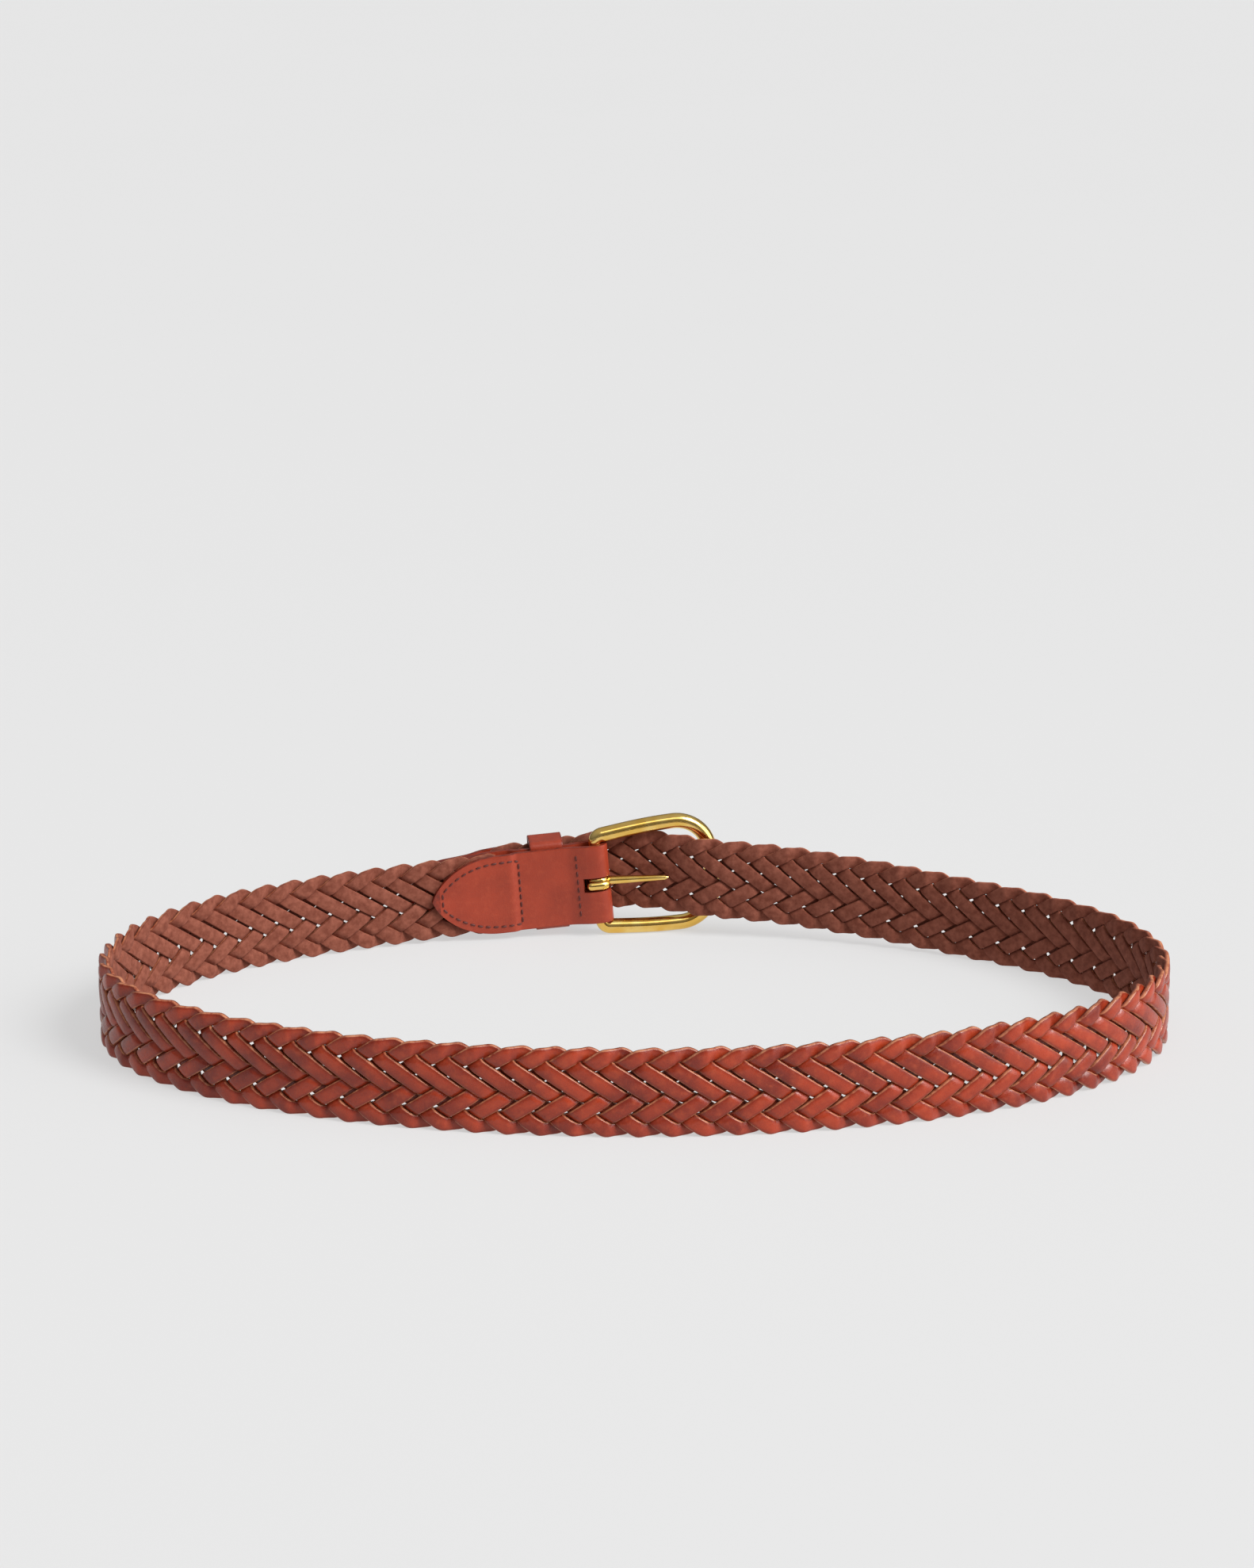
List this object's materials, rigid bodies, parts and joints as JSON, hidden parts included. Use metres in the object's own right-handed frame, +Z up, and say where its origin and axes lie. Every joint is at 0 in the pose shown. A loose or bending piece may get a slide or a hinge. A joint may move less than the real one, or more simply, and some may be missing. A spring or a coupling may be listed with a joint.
{
  "type": "braided leather belt",
  "caption": "Braided leather belt with a brass frame buckle, fastened in a loop and standing on its lower edge.",
  "frame": {"origin": "centre of the belt's footprint, on the surface that it stands on", "axes": "+Z up, +X along the loop's long side, +Y from the plain front of the loop towards the buckle"},
  "size_m": [0.3696, 0.2202, 0.0458],
  "materials": {
    "braid_leather": "cognac vegetable-tanned strap leather, semi-gloss grain side out, matte flesh side in",
    "chape_leather": "smooth red-tan bridle leather with dark burnished edges",
    "thread": "waxed dark brown thread",
    "brass": "polished yellow brass"
  },
  "bodies": {
    "strap": {"strand_1": "braid_leather", "strand_2": "braid_leather", "strand_3": "braid_leather", "strand_4": "braid_leather", "strand_5": "braid_leather", "strand_6": "braid_leather", "strand_7": "braid_leather", "strand_8": "braid_leather", "bar_seam_inner_thread": "thread", "bar_seam_outer_thread": "thread", "point_seam_inner_thread": "thread", "point_seam_outer_thread": "thread", "end_tab_inner_thread": "thread", "end_tab_outer_thread": "thread", "chape": "chape_leather", "end_tab_inner_leaf": "chape_leather", "end_tab_outer_leaf": "chape_leather"},
    "frame": {"buckle_frame": "brass"},
    "prong_body": {"prong": "brass"},
    "keeper_loop": {"keeper": "chape_leather"}
  },
  "joints": [
    {"name": "frame_hinge", "type": "hinge", "parent": "strap", "child": "frame", "pos_m": [-0.0132, 0.098, 0.0206], "axis": [-0.0892, -0.0038, 0.996], "range_deg": [0, 10]},
    {"name": "prong_hinge", "type": "hinge", "parent": "strap", "child": "prong_body", "pos_m": [-0.0132, 0.098, 0.0206], "axis": [-0.0892, -0.0038, 0.996], "range_deg": [-20, 0]},
    {"name": "keeper_slide", "type": "slide", "parent": "strap", "child": "keeper_loop", "axis": [-0.9918, -0.1027, -0.0763], "range_m": [-0.0015, 0.0025]}
  ]
}
